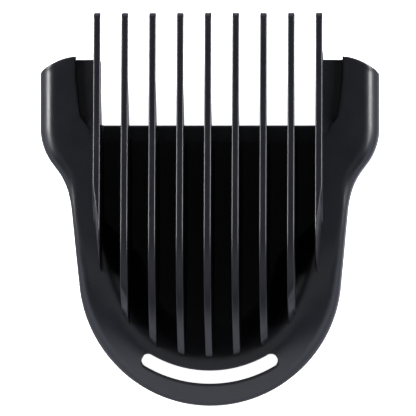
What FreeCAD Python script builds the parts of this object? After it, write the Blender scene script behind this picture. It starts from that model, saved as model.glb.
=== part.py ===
import FreeCAD, Part
import math
import os

# Guide comb of a hair clipper: a hollow moulded cover that slides over the clipper's head and
# holds nine tall fins in front of the blade. It lies on its open back.
# Millimetres. +X is to the right, +Y towards the tooth tips, +Z out of the comb's front.
# The origin is the centre of the footprint, on the plane of the back rims (z = 0).

# ---- Driving dimensions -------------------------------------------------------------------

overall_width = 61.2        # across the two wings
overall_length = 71.1       # chin to tooth tips
overall_height = 26.0       # back rims to the crest of the teeth
wall = 1.8                  # cover, decks and plate

# Teeth
tooth_count = 9
tooth_thickness = 1.2
tooth_overhang = 8.35       # tips beyond the decks' top edge
tooth_nose = 1.3            # radius of a tip, seen from the side
crest_radius = 25.0         # of the teeth's outer edge, seen from the side
free_slope = 7.0            # degrees, crest to tips
toe_slope = 44.0            # degrees, crest to chin
toe_rise = 0.6              # teeth above the cover's front where they end at the chin
end_lean = 4.0              # how far the teeth's ends lean back at the crest's height

# Outline of the cover
wing_flare = 6.9            # each wing stands this far outside the chin's circle
wing_rise = 0.6             # wing peaks above the decks' top edge
wing_corner_drop = 2.8      # wing peak down to the corner of its straight side
wing_top_bulge = 0.56       # sagitta of the wing's arched top edge
wing_width = 6.5            # straight side to the step beside the deck
wing_turn_radius = 10.7     # convex turn under the wing
neck_radius = 12.2          # first and tighter part of the concave neck
neck_ease_radius = 21.0     # second and wider part
neck_angle = 36.8           # degrees, steepest part under the wing
neck_ease_angle = 14.4
side_lean = 5.3             # degrees, the nearly straight side
side_length = 13.68         # of that side, between the neck and the chin's circle

# Front of the cover, seen from the side
wing_front = 16.0           # height of the wings' flat
front_break = 18.8          # from the decks' top edge to where the front starts to fall
front_break_radius = 60.0
front_fall = 2.0            # degrees
chin_bend_radius = 10.0
chin_fall = 38.0            # degrees
chin_rim = 8.0              # height of the chin's outer edge before it is rounded
shoulder_radius = 3.2       # rounding between front and sides
side_split_drop = 5.9       # chin circle's centre to where the side panels meet the chin cover

# Recess that the teeth stand in
deck_width = 3.5            # outer tooth to the wing's step
recess_straight = 27.7      # decks' top edge to where the recess starts to close
recess_power = 2.4          # squareness of the recess's closed end, 2 being an ellipse
recess_steps = 14           # points on each half of that end
window_length = 20.15       # tips to the plate's free edge
lip_length = 3.0
lip_drop = 0.9
plate_edge_height = 5.5     # plate's top face at its free edge
plate_sink = 0.2            # plate below the cover's front where they meet at the chin

# Decks
deck_drop = 1.4             # deck below the wing's flat
deck_taper = 0.8            # narrower at the lower end
deck_lean_start = 3.5       # decks' top edge to where the step starts to lean in
deck_hook = 10.5            # decks' top edge to the end of the step
deck_blend = 3.1            # step's end to the deck's lowest point
skirt = 1.2                 # thickness of the step's wall

# Smile slot and snap bow
slot_width = 2.5
slot_land = 0.8             # cover left between the slot and the recess, in the middle
slot_end_land = 0.42        # the same, at the centres of the slot's end rounds
slot_half_span = 11.15      # centre of an end round, from the middle
bow_width = 3.95            # strip between the slot and the chin

# Guide rails and snap lug inside the cover
rail_depth = 1.3
rail_height = 2.0
rail_level = 4.5
rail_lead = 0.8             # chamfer on the rail's ends
rail_end_gap = 0.8          # from each end of the rail to the end of the wing's straight side
lug_depth = 1.0
lug_height = 1.8
lug_level = 1.4
lug_half_width = 6.0

# ---- Places worked out from the sizes -----------------------------------------------------

half_width = overall_width / 2
tip_y = overall_length / 2
chin_y = -overall_length / 2
deck_top_y = tip_y - tooth_overhang
wing_peak_y = deck_top_y + wing_rise
wing_corner_y = wing_peak_y - wing_corner_drop
step_x = half_width - wing_width
deck_height = wing_front - deck_drop
field_half = step_x - deck_width
tooth_pitch = (2 * field_half - tooth_thickness) / (tooth_count - 1)
chin_radius = half_width - wing_flare
chin_centre_y = chin_y + chin_radius
plate_edge_y = tip_y - window_length
crease_y = plate_edge_y - lip_length
recess_start_y = deck_top_y - recess_straight
slot_top_y = chin_y + bow_width + slot_width
recess_end_y = slot_top_y + slot_land
recess_depth = recess_start_y - recess_end_y
side_split_y = chin_centre_y - side_split_drop
beyond = 20.0               # how far cutting shapes run past the comb
slack = 0.01                # distances under this count as none


def sine(degrees):
    """Sine of an angle in degrees."""
    return math.sin(math.radians(degrees))


def cosine(degrees):
    """Cosine of an angle in degrees."""
    return math.cos(math.radians(degrees))


def lengths_to_close(first, second, target):
    """The lengths of two straight runs, headed first and second degrees, that add up to target."""
    det = cosine(first) * sine(second) - cosine(second) * sine(first)
    along_first = (target[0] * sine(second) - target[1] * cosine(second)) / det
    along_second = (target[1] * cosine(first) - target[0] * sine(first)) / det
    return along_first, along_second


def walk(start, heading, steps, inset=0.0):
    """Points of a tangent path: (kind, points) per step, moved to its right by inset.

    A step is ("line", length) or ("arc", radius, turn), with a left turn positive, in degrees.
    """
    x, y = start
    found = []
    for step in steps:
        if step[0] == "line":
            ends = [(x, y, heading)]
            x += step[1] * cosine(heading)
            y += step[1] * sine(heading)
            ends.append((x, y, heading))
        else:
            radius, turn = step[1], step[2]
            side = 1 if turn > 0 else -1
            centre_x = x - side * radius * sine(heading)
            centre_y = y + side * radius * cosine(heading)
            ends = []
            for share in (0, 0.5, 1):
                now = heading + turn * share
                px = centre_x + side * radius * sine(now)
                py = centre_y - side * radius * cosine(now)
                ends.append((px, py, now))
            x, y, heading = ends[-1]
        moved = [(px + inset * sine(h), py - inset * cosine(h)) for px, py, h in ends]
        found.append((step[0], moved))
    return found


def end_of(path):
    """The last point of a walked path."""
    return path[-1][1][-1]


def edges_of(path, place):
    """Part edges of a walked path, with place turning each pair into a vector."""
    edges = []
    for kind, points in path:
        where = [place(a, b) for a, b in points]
        if kind == "line":
            edges.append(Part.LineSegment(where[0], where[1]).toShape())
        else:
            edges.append(Part.Arc(where[0], where[1], where[2]).toShape())
    return edges


def flat(x, y):
    """A point of a plan drawing."""
    return FreeCAD.Vector(x, y, 0)


def flat_mirrored(x, y):
    """The same point on the comb's left."""
    return FreeCAD.Vector(-x, y, 0)


def from_side(y, z):
    """A point of a drawing seen from the side, on the plane x = 0."""
    return FreeCAD.Vector(0, y, z)


def straight_edges(points):
    """Straight edges through a list of vectors."""
    return [Part.LineSegment(a, b).toShape() for a, b in zip(points, points[1:])]


def face_of(edges):
    """A flat face inside a closed run of edges."""
    return Part.Face(Part.Wire(Part.__sortEdges__(edges)))


def rise(face, low, high):
    """A plan face extruded between two heights."""
    moved = face.copy()
    moved.translate(FreeCAD.Vector(0, 0, low))
    return moved.extrude(FreeCAD.Vector(0, 0, high - low))


def across(face, left, right):
    """A side face extruded between two places along X."""
    moved = face.copy()
    moved.translate(FreeCAD.Vector(left, 0, 0))
    return moved.extrude(FreeCAD.Vector(right - left, 0, 0))


def block(low, high):
    """A box between two corners."""
    size = [b - a for a, b in zip(low, high)]
    return Part.makeBox(size[0], size[1], size[2], FreeCAD.Vector(*low))


def mirrored(shape):
    """The same shape on the other side of the comb."""
    return shape.mirror(FreeCAD.Vector(0, 0, 0), FreeCAD.Vector(1, 0, 0))


# ---- Outline and front of the cover -------------------------------------------------------

def side_curves():
    """The outline's fixed runs below the wing: turn, neck, nearly straight side and chin."""
    return [
        ("arc", wing_turn_radius, -neck_angle),
        ("arc", neck_radius, neck_angle - neck_ease_angle),
        ("arc", neck_ease_radius, neck_ease_angle - side_lean),
        ("line", side_length),
        ("arc", chin_radius, -(90.0 - side_lean)),
    ]


def free_runs():
    """The lengths of the wing's straight side and of the slope under its turn."""
    end = end_of(walk((half_width, wing_corner_y), -90.0, side_curves()))
    gap = (0 - end[0], chin_y - end[1])
    return lengths_to_close(-90.0, -90.0 - neck_angle, gap)


def side_path(inset, top_y):
    """The cover's right edge from top_y to the middle of the chin, moved inwards by inset."""
    wing_side, under_wing = free_runs()
    curves = side_curves()
    straight = ("line", top_y - wing_corner_y + wing_side)
    steps = [straight, curves[0], ("line", under_wing)] + curves[1:]
    return walk((half_width, top_y), -90.0, steps, inset)


def outline_face():
    """The cover seen from the front: arched wing tops, decks' top edge, sides and chin."""
    path = side_path(0.0, wing_corner_y)
    peak = (step_x, wing_peak_y)
    corner = (half_width, wing_corner_y)
    span = math.hypot(corner[0] - peak[0], corner[1] - peak[1])
    out_x = (peak[1] - corner[1]) / span
    out_y = (corner[0] - peak[0]) / span
    middle = (
        (peak[0] + corner[0]) / 2 + wing_top_bulge * out_x,
        (peak[1] + corner[1]) / 2 + wing_top_bulge * out_y,
    )
    edges = []
    for place in (flat, flat_mirrored):
        edges += edges_of(path, place)
        edges.append(Part.Arc(place(*peak), place(*middle), place(*corner)).toShape())
        edges += straight_edges([place(*peak), place(step_x, deck_top_y), place(0, deck_top_y)])
    return face_of(edges)


def cavity_face():
    """The cover's inside, open past the tooth tips."""
    top_y = tip_y + beyond
    edges = []
    for place in (flat, flat_mirrored):
        edges += edges_of(side_path(wall, top_y), place)
        edges += straight_edges([place(half_width - wall, top_y), place(0, top_y)])
    return face_of(edges)


def front_path(inset):
    """The cover's front from beyond the wings down to the chin's rim, moved inwards by inset."""
    start_y = deck_top_y + beyond
    fall = 180.0 + front_fall
    chin = 180.0 + chin_fall
    first = ("line", beyond + front_break)
    bends = [
        ("arc", front_break_radius, front_fall),
        ("arc", chin_bend_radius, chin_fall - front_fall),
    ]
    end = end_of(walk((start_y, wing_front), 180.0, [first] + bends))
    gap = (chin_y - end[0], chin_rim - end[1])
    falling, chin_run = lengths_to_close(fall, chin, gap)
    steps = [first, bends[0], ("line", falling), bends[1], ("line", chin_run + beyond)]
    return walk((start_y, wing_front), 180.0, steps, -inset)


def under_front(inset):
    """Everything behind the cover's front surface, moved inwards by inset."""
    path = front_path(inset)
    edges = edges_of(path, from_side)
    start = path[0][1][0]
    end = end_of(path)
    floor = end[1] - beyond
    corners = [(end[0], end[1]), (end[0], floor), (start[0], floor), (start[0], start[1])]
    edges += straight_edges([from_side(*corner) for corner in corners])
    return across(face_of(edges), -half_width - beyond, half_width + beyond)


def front_height(y):
    """Height of the cover's front on the comb's middle, at a given y."""
    column = Part.makeLine(FreeCAD.Vector(0, y, 0), FreeCAD.Vector(0, y, overall_height))
    return under_front(0.0).common(column).BoundBox.ZMax


def shoulder_edges(blank):
    """The edges between the cover's front and its sides, from one wing's corner to the other's."""
    wanted = []
    for edge in blank.Edges:
        ends = [vertex.Point for vertex in edge.Vertexes]
        y_places = [end.y for end in ends]
        below_corner = max(y_places) < wing_corner_y + slack
        on_front = min(end.z for end in ends) > chin_rim / 2
        runs_along = max(y_places) - min(y_places) > slack
        if below_corner and on_front and runs_along:
            wanted.append(edge)
    return wanted


def cover_blank():
    """The cover's outside as a full solid, with its shoulder rounded."""
    blank = rise(outline_face(), 0.0, overall_height).common(under_front(0.0))
    return blank.makeFillet(shoulder_radius, shoulder_edges(blank))


def cover_cavity():
    """The space inside the cover, open at the back and at the top."""
    return rise(cavity_face(), -beyond, overall_height).common(under_front(wall))


# ---- Recess that the teeth stand in -------------------------------------------------------

def recess_wire(inset, depth_less, height):
    """The recess's U at a height: straight sides and a superellipse's half, moved in by inset.

    The closed end follows |x / half| ** power + |y / depth| ** power = 1.
    """
    half = field_half - inset
    depth = recess_depth - inset - depth_less
    top_y = tip_y + beyond
    bow_points = []
    for step in range(-recess_steps, recess_steps + 1):
        angle = 90.0 * step / recess_steps
        across_share = math.copysign(abs(sine(angle)) ** (2 / recess_power), angle)
        along_share = abs(cosine(angle)) ** (2 / recess_power)
        if abs(step) == recess_steps:
            along_share = 0.0
        x = half * across_share
        y = recess_start_y - depth * along_share
        bow_points.append(FreeCAD.Vector(x, y, height))
    down = FreeCAD.Vector(0, -1, 0)
    curve = Part.BSplineCurve()
    curve.interpolate(Points=bow_points, InitialTangent=down, FinalTangent=-down)
    corners = [(-half, recess_start_y), (-half, top_y), (half, top_y), (half, recess_start_y)]
    sides = straight_edges([FreeCAD.Vector(x, y, height) for x, y in corners])
    return Part.Wire(Part.__sortEdges__([curve.toShape()] + sides))


def recess_prism(inset):
    """Everything inside the recess's U, at all heights."""
    return rise(Part.Face(recess_wire(inset, 0.0, 0.0)), -beyond, overall_height + beyond)


def plate_top():
    """The plate's top face seen from the side: chin, crease and free edge, as (y, z) points."""
    chin = (recess_end_y, front_height(recess_end_y) - plate_sink)
    crease = (crease_y, plate_edge_height + lip_drop)
    edge = (plate_edge_y, plate_edge_height)
    return [chin, crease, edge]


def plate_slab():
    """The plate and its lip, as wide as needed, before the recess trims them."""
    chin, crease, edge = plate_top()
    slope = (chin[1] - crease[1]) / (crease[0] - chin[0])
    far = (chin[0] - beyond, chin[1] + slope * beyond)
    top = [far, crease, edge]
    under = [(y, z - wall) for y, z in reversed(top)]
    drawing = [from_side(y, z) for y, z in top + under + [top[0]]]
    return across(face_of(straight_edges(drawing)), -half_width, half_width)


def over_plate_underside():
    """Everything in front of the plate's underside."""
    chin, crease, edge = plate_top()
    slope = (chin[1] - crease[1]) / (crease[0] - chin[0])
    far_z = chin[1] + slope * beyond - wall
    roof = overall_height + beyond
    corners = [
        (chin[0] - beyond, far_z),
        (crease[0], crease[1] - wall),
        (edge[0], edge[1] - wall),
        (edge[0], roof),
        (chin[0] - beyond, roof),
        (chin[0] - beyond, far_z),
    ]
    drawing = [from_side(y, z) for y, z in corners]
    return across(face_of(straight_edges(drawing)), -half_width, half_width)


# ---- Teeth --------------------------------------------------------------------------------

def tooth_side_face():
    """A tooth seen from the side: on the plate, free over the window, rounded tip, crest and toe."""
    chin, crease, edge = plate_top()
    toe = (recess_end_y, front_height(recess_end_y) + toe_rise)
    crest_z = overall_height - crest_radius
    reach = crest_radius + (crest_z - toe[1]) * cosine(toe_slope)
    crest_y = toe[0] + reach / sine(toe_slope)

    nose_y = tip_y - tooth_nose
    front_y = nose_y + tooth_nose * sine(free_slope)
    crest_end = (crest_y + crest_radius * sine(free_slope), crest_z + crest_radius * cosine(free_slope))
    run = (front_y - crest_end[0]) / cosine(free_slope)
    nose_front = (front_y, crest_end[1] - run * sine(free_slope))
    nose_z = nose_front[1] - tooth_nose * cosine(free_slope)
    gap = math.hypot(nose_y - edge[0], nose_z - edge[1])
    back = math.atan2(nose_z - edge[1], nose_y - edge[0]) - math.asin(tooth_nose / gap)
    nose_back = (nose_y + tooth_nose * math.sin(back), nose_z - tooth_nose * math.cos(back))

    steps = [("line", run), ("arc", crest_radius, free_slope + toe_slope)]
    crest = walk(nose_front, 180.0 - free_slope, steps)
    corners = [end_of(crest), toe, chin, crease, edge, nose_back]
    edges = edges_of(crest, from_side)
    edges += straight_edges([from_side(*corner) for corner in corners])
    nose = [nose_back, (tip_y, nose_z), nose_front]
    edges.append(Part.Arc(*[from_side(*point) for point in nose]).toShape())
    return face_of(edges)


def teeth_envelope():
    """The recess's U leaning in towards the crest, which gives the teeth their sloped ends."""
    foot = chin_rim
    roof = overall_height + beyond
    lean = end_lean * (roof - foot) / (overall_height - foot)
    lower = recess_wire(0.0, 0.0, foot)
    upper = recess_wire(0.0, lean, roof)
    leaning = Part.makeLoft([lower, upper], True, True)
    below = rise(Part.Face(recess_wire(0.0, 0.0, 0.0)), -beyond, foot)
    return leaning.fuse(below)


def teeth(carriers):
    """The teeth by number, each trimmed to the recess and to the walls that carry the outer two."""
    side = tooth_side_face()
    envelope = teeth_envelope()
    found = {}
    first_x = -tooth_pitch * (tooth_count - 1) / 2
    for number in range(tooth_count):
        centre_x = first_x + number * tooth_pitch
        half = tooth_thickness / 2
        fin = across(side, centre_x - half, centre_x + half)
        found["tooth_%d" % (number + 1)] = fin.cut(carriers).common(envelope)
    return found


# ---- Decks --------------------------------------------------------------------------------

def deck_face():
    """The right deck seen from the front, between the outer tooth and the wing's step."""
    hook_y = deck_top_y - deck_hook
    low_y = hook_y - deck_blend
    corners = [
        (field_half, deck_top_y + beyond),
        (step_x, deck_top_y + beyond),
        (step_x, deck_top_y - deck_lean_start),
        (step_x - deck_taper, hook_y),
        (field_half, low_y),
        (field_half, deck_top_y + beyond),
    ]
    return face_of(straight_edges([flat(x, y) for x, y in corners]))


def step_wall_face():
    """The strip along the deck's outer edge that carries the wing's step."""
    hook_y = deck_top_y - deck_hook
    middle_y = deck_top_y - deck_lean_start
    corners = [
        (step_x, wing_peak_y),
        (step_x + skirt, wing_peak_y),
        (step_x + skirt, middle_y),
        (step_x - deck_taper + skirt, hook_y),
        (step_x - deck_taper, hook_y),
        (step_x, middle_y),
        (step_x, wing_peak_y),
    ]
    return face_of(straight_edges([flat(x, y) for x, y in corners]))


# ---- Smile slot ---------------------------------------------------------------------------

def slot_arc():
    """The radius of the slot's centreline and the y of its centre.

    The slot's upper edge is the circle that leaves slot_land to the recess in the middle and
    slot_end_land at the ends: radius = (span ** 2 + rise ** 2) / (2 * rise).
    """
    share = 1 - (slot_half_span / field_half) ** recess_power
    recess_y = recess_start_y - recess_depth * share ** (1 / recess_power)
    rise_to_ends = recess_y - slot_end_land - slot_top_y
    upper = (slot_half_span ** 2 + rise_to_ends ** 2) / (2 * rise_to_ends)
    return upper + slot_width / 2, slot_top_y + upper


def slot_prism():
    """The curved slot with rounded ends, at all heights."""
    slot_radius, slot_centre_y = slot_arc()
    reach = math.asin(slot_half_span / slot_radius)
    outer = slot_radius + slot_width / 2
    inner = slot_radius - slot_width / 2

    def on(radius, angle):
        """A point at an angle from straight down, on a circle about the slot's centre."""
        return flat(radius * math.sin(angle), slot_centre_y - radius * math.cos(angle))

    def round_end(side):
        """The point at the very end of the slot."""
        centre = on(slot_radius, side * reach)
        out_x = math.cos(reach) * side
        out_y = math.sin(reach)
        half = slot_width / 2
        return FreeCAD.Vector(centre.x + half * out_x, centre.y + half * out_y, 0)

    edges = [
        Part.Arc(on(outer, -reach), on(outer, 0), on(outer, reach)).toShape(),
        Part.Arc(on(outer, reach), round_end(1), on(inner, reach)).toShape(),
        Part.Arc(on(inner, reach), on(inner, 0), on(inner, -reach)).toShape(),
        Part.Arc(on(inner, -reach), round_end(-1), on(outer, -reach)).toShape(),
    ]
    return rise(face_of(edges), -beyond, overall_height)


def bow_region():
    """Where the snap bow is: outside the slot's centreline, between the centres of its end rounds."""
    slot_radius, slot_centre_y = slot_arc()
    centre = FreeCAD.Vector(0, slot_centre_y, -beyond)
    round_cut = Part.makeCylinder(slot_radius, overall_height + 2 * beyond, centre)
    low = (-slot_half_span, chin_y - beyond, -beyond)
    high = (slot_half_span, slot_centre_y, overall_height)
    return block(low, high).cut(round_cut)


# ---- Guide rails and snap lug -------------------------------------------------------------

def guide_rail():
    """The right rail on the wing's inside, which slides in the clipper head's groove."""
    outer_x = half_width - wall
    wing_side = free_runs()[0]
    low = (outer_x - rail_depth, wing_corner_y - wing_side + rail_end_gap, rail_level)
    high = (outer_x, wing_corner_y - rail_end_gap, rail_level + rail_height)
    rail = block(low, high)
    ends = []
    for edge in rail.Edges:
        box = edge.BoundBox
        if box.XMax < low[0] + slack and box.YLength < slack:
            ends.append(edge)
    return rail.makeChamfer(rail_lead, ends)


def snap_lug():
    """The ridge on the chin's inner face that clicks under the clipper head's edge."""
    outer = chin_radius - wall
    centre = FreeCAD.Vector(0, chin_centre_y, lug_level)
    ring = Part.makeCylinder(outer, lug_height, centre)
    ring = ring.cut(Part.makeCylinder(outer - lug_depth, lug_height, centre))
    low = (-lug_half_width, chin_y - beyond, 0)
    high = (lug_half_width, chin_centre_y, overall_height)
    return ring.common(block(low, high))


# ---- The comb, divided into its named regions ---------------------------------------------

def build():
    """All named solids of the comb, which meet face to face."""
    shell = cover_blank().cut(cover_cavity())
    recess = recess_prism(0.0)
    shell = shell.cut(recess)
    shell = shell.cut(slot_prism())

    ring = recess.cut(recess_prism(tooth_thickness))
    below_end = block(
        (-half_width, chin_y - beyond, -beyond),
        (half_width, plate_edge_y, overall_height + beyond),
    )
    recess_wall = ring.common(over_plate_underside()).common(below_end).common(under_front(0.0))

    inner = recess_prism(tooth_thickness)
    slab = plate_slab().common(inner)
    lip_zone = block((-half_width, crease_y, -beyond), (half_width, tip_y, overall_height))
    parts = {
        "comb_plate": slab.cut(lip_zone),
        "blade_lip": slab.common(lip_zone),
    }

    cheek_low = (field_half - tooth_thickness, plate_edge_y, plate_edge_height - wall)
    cheek_high = (field_half, deck_top_y, deck_height)
    cheek = block(cheek_low, cheek_high)
    parts["right_cheek"] = cheek
    parts["left_cheek"] = mirrored(cheek)
    parts.update(teeth([recess_wall, cheek, mirrored(cheek)]))

    split_low = (-half_width - beyond, recess_start_y, -beyond)
    split_high = (0, plate_edge_y + beyond, overall_height + beyond)
    left_zone = block(split_low, split_high)
    right_zone = mirrored(left_zone)
    parts["left_recess_wall"] = recess_wall.common(left_zone)
    parts["right_recess_wall"] = recess_wall.common(right_zone)
    parts["chin_recess_wall"] = recess_wall.cut(left_zone).cut(right_zone)

    right_deck_prism = rise(deck_face(), deck_height - wall, overall_height)
    right_deck = rise(deck_face(), deck_height - wall, deck_height)
    deck_end = block((0, chin_y, 0), (half_width, deck_top_y, overall_height))
    right_deck = right_deck.common(deck_end)
    step_wall = rise(step_wall_face(), deck_height - wall, wing_front).common(under_front(0.0))
    shell = shell.cut(right_deck_prism).cut(mirrored(right_deck_prism))
    shell = shell.fuse([step_wall, mirrored(step_wall)]).removeSplitter()
    parts["right_deck"] = right_deck
    parts["left_deck"] = mirrored(right_deck)

    wing_split_y = wing_corner_y - free_runs()[0] - wing_turn_radius
    far_x = half_width + beyond
    wing_zone = block((0, wing_split_y, -beyond), (far_x, tip_y, overall_height))
    side_zone = block((0, side_split_y, -beyond), (far_x, wing_split_y, overall_height))
    parts["right_wing"] = shell.common(wing_zone)
    parts["left_wing"] = shell.common(mirrored(wing_zone))
    parts["right_side_panel"] = shell.common(side_zone)
    parts["left_side_panel"] = shell.common(mirrored(side_zone))
    chin_low = (-far_x, chin_y - beyond, -beyond)
    chin = shell.common(block(chin_low, (far_x, side_split_y, overall_height)))
    parts["snap_bow"] = chin.common(bow_region())
    parts["chin_cover"] = chin.cut(bow_region())

    parts["right_guide_rail"] = guide_rail()
    parts["left_guide_rail"] = mirrored(guide_rail())
    parts["snap_lug"] = snap_lug()
    return parts


def report(parts):
    """Print each piece's volume and anything that isn't one closed solid."""
    for name, shape in sorted(parts.items()):
        count = len(shape.Solids)
        state = "" if shape.isValid() and count == 1 else "  <-- %d solids" % count
        print("%-20s %9.2f mm3%s" % (name, shape.Volume, state))


if __name__ == "__main__":
    os.makedirs("parts", exist_ok=True)
    pieces = build()
    report(pieces)
    for name, shape in pieces.items():
        shape.exportStep("parts/%s.step" % name)
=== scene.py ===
"""Guide comb of a hair clipper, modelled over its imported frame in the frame's own axes.

The comb's sizes are millimetres; the skin's, the lamps' and the studio's are metres, and so are
the finished meshes. +X is to the right, +Y towards the tooth tips and +Z out of the comb's
front, and the back rims lie on z = 0.
"""

import logging
import math
from dataclasses import dataclass, field
from enum import Enum

import bpy
import numpy as np
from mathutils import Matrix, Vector

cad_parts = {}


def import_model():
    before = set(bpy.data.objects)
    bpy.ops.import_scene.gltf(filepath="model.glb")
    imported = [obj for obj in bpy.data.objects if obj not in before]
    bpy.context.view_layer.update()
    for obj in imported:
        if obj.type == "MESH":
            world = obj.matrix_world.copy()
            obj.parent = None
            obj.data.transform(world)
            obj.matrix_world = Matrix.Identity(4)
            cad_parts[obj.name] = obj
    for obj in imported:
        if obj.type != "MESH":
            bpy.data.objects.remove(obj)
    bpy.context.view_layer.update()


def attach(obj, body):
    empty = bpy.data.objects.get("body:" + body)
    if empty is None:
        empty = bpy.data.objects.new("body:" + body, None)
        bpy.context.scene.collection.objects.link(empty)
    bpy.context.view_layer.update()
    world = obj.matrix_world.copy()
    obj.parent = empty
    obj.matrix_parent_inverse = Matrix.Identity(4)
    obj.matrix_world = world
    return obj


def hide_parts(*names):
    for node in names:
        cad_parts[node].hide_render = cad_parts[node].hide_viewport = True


LOG = logging.getLogger("guide_comb")
MM = 0.001
EDGE_RADIUS = 0.33
EDGE_STEPS = np.array([0.0, 0.03, 0.1, 0.2, EDGE_RADIUS])  # rows' distances from a rounded edge
TOE_STEPS = np.array([0.0, 0.04, 0.1, 0.2, 0.33, 0.5, 0.7])  # the same at a tooth's toe
FIN_STEPS = np.array([0.0, 0.02, 0.06, 0.12, 0.2, 0.3, 0.42])  # and along its front and rear
OPEN_FROM = 0.6  # distance from an edge where evenly spaced rows take over


class Side(Enum):
    """A side of the comb, with the sign of its x."""

    RIGHT = 1
    LEFT = -1

    @property
    def word(self) -> str:
        """The side's name as the pieces use it."""
        return self.name.lower()


class Slot(Enum):
    """Names of material slots."""

    COVER = "cover_plastic"
    TOOTH = "tooth_plastic"
    INNER = "inner_plastic"


# ---- Formulas shared by the surfaces ------------------------------------------------------

def ease(share: np.ndarray) -> np.ndarray:
    """A step from 0 to 1 with level ends: 3 t squared minus 2 t cubed, t held to 0..1."""
    held = np.clip(share, 0.0, 1.0)
    return held * held * (3.0 - 2.0 * held)


def eased_interp(at: np.ndarray, places: np.ndarray, values: np.ndarray) -> np.ndarray:
    """Values between rising places, level at each place, by the eased share of each gap."""
    k = np.clip(np.searchsorted(places, at) - 1, 0, len(places) - 2)
    share = ease((at - places[k]) / (places[k + 1] - places[k]))
    return values[k] + (values[k + 1] - values[k]) * share


def soft_ramp(distance: np.ndarray, softness: float) -> np.ndarray:
    """Zero for negative distances and the distance itself for positive ones, with a soft knee.

    Half of the sum of t and the root of t squared plus softness squared.
    """
    return 0.5 * (distance + np.sqrt(distance ** 2 + softness ** 2))


def quarter_drop(distance: np.ndarray, width: np.ndarray, depth: np.ndarray) -> np.ndarray:
    """How far a quarter ellipse falls below its top.

    Args:
        distance: distance in from the edge.
        width: the ellipse's half axis across the edge.
        depth: the ellipse's half axis down the edge.

    Returns:
        depth times (1 minus the root of 1 minus (1 - distance / width) squared).
    """
    share = np.clip(1.0 - distance / width, 0.0, 1.0)
    return depth * (1.0 - np.sqrt(np.maximum(1.0 - share ** 2, 0.0)))


def edge_drop(distance: np.ndarray) -> np.ndarray:
    """The fall of a small rounded edge at each distance from it, a quarter circle."""
    return quarter_drop(distance, EDGE_RADIUS, EDGE_RADIUS)


def nearest(points: np.ndarray, line: np.ndarray) -> np.ndarray:
    """Distance of each point to the closest segment of an open line.

    Args:
        points: (..., 2) places.
        line: (n, 2) corners of the line.

    Returns:
        The least distance, found by dropping a perpendicular on every segment.
    """
    start, run = line[:-1], line[1:] - line[:-1]
    length2 = np.maximum((run ** 2).sum(1), 1e-12)
    flat = points.reshape(-1, 2)
    found = np.empty(len(flat))
    for low in range(0, len(flat), 4000):
        part = flat[low:low + 4000, None, :] - start[None]
        share = np.clip((part * run[None]).sum(2) / length2, 0.0, 1.0)
        away = part - share[..., None] * run[None]
        found[low:low + 4000] = np.sqrt((away ** 2).sum(2).min(1))
    return found.reshape(points.shape[:-1])


def spaced(low: float, high: float, count: int) -> np.ndarray:
    """Places from low to high, close together beside both ends and even between."""
    middle = np.linspace(low + OPEN_FROM, high - OPEN_FROM, count)
    return np.concatenate([low + EDGE_STEPS, middle, high - EDGE_STEPS[::-1]])


def resample(line: np.ndarray, shares: np.ndarray) -> np.ndarray:
    """Points at the given shares of a line's length."""
    steps = np.hypot(*np.diff(line, axis=0).T)
    along = np.concatenate([[0.0], np.cumsum(steps)])
    at = shares * along[-1]
    return np.stack([np.interp(at, along, line[:, k]) for k in range(line.shape[1])], 1)


def arc(centre: tuple[float, float], radius: float, start: float, end: float,
        count: int) -> np.ndarray:
    """Points of a circle between two angles in degrees, as (count, 2)."""
    angle = np.radians(np.linspace(start, end, count))
    return np.stack([centre[0] + radius * np.cos(angle), centre[1] + radius * np.sin(angle)], 1)


# ---- Meshes and nodes ---------------------------------------------------------------------

def grid_quads(ids: np.ndarray) -> np.ndarray:
    """The four-sided faces of a grid of vertex numbers, as (m, 4)."""
    return np.stack([ids[:-1, :-1], ids[1:, :-1], ids[1:, 1:], ids[:-1, 1:]], -1).reshape(-1, 4)


def outward(verts: np.ndarray, faces: np.ndarray) -> np.ndarray:
    """The faces in the order that points them outwards.

    The sum of the four-sided faces' triple products is six times the enclosed volume, and a
    negative sum means that they point inwards.
    """
    a, b, c, d = (verts[faces[:, k]] for k in range(4))
    volume = (np.cross(a, b) * c).sum() + (np.cross(a, c) * d).sum()
    return faces if volume > 0 else faces[:, ::-1]


def closed_slab(top: np.ndarray, under: np.ndarray,
                quads: np.ndarray) -> tuple[np.ndarray, np.ndarray]:
    """Two sheets joined round every free edge.

    Args:
        top: (n, 3) vertices of one sheet.
        under: (n, 3) vertices of the other sheet, number for number.
        quads: faces of the sheets. An edge that only one face uses gets a wall.

    Returns:
        The vertices and the faces of the closed solid, faces outwards.
    """
    used, packed = np.unique(quads, return_inverse=True)
    quads = packed.reshape(quads.shape)
    top, under = top[used], under[used]
    count = len(top)
    starts = quads.reshape(-1)
    ends = np.roll(quads, -1, axis=1).reshape(-1)
    free = ~np.isin(starts * count + ends, ends * count + starts)
    first, second = starts[free], ends[free]
    walls = np.stack([second, first, first + count, second + count], 1)
    faces = np.concatenate([quads, quads[:, ::-1] + count, walls])
    verts = np.concatenate([top, under])
    return verts, outward(verts, faces)


def sheet_ids(rows: int, columns: int) -> np.ndarray:
    """Vertex numbers of a full grid."""
    return np.arange(rows * columns).reshape(rows, columns)


def slab_of_grids(top: np.ndarray, under: np.ndarray) -> tuple[np.ndarray, np.ndarray]:
    """The closed solid between two full grids of vertices, each (rows, columns, 3)."""
    quads = grid_quads(sheet_ids(*top.shape[:2]))
    return closed_slab(top.reshape(-1, 3), under.reshape(-1, 3), quads)


def raised(plan: np.ndarray, z: np.ndarray) -> np.ndarray:
    """A grid of x and y with its heights added, as (..., 3)."""
    return np.concatenate([plan, z[..., None]], -1)


def on_side(grid: np.ndarray, side: Side) -> np.ndarray:
    """A grid of the right side, moved to the given side of the comb."""
    return grid * np.array([side.value, 1.0, 1.0])


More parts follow.
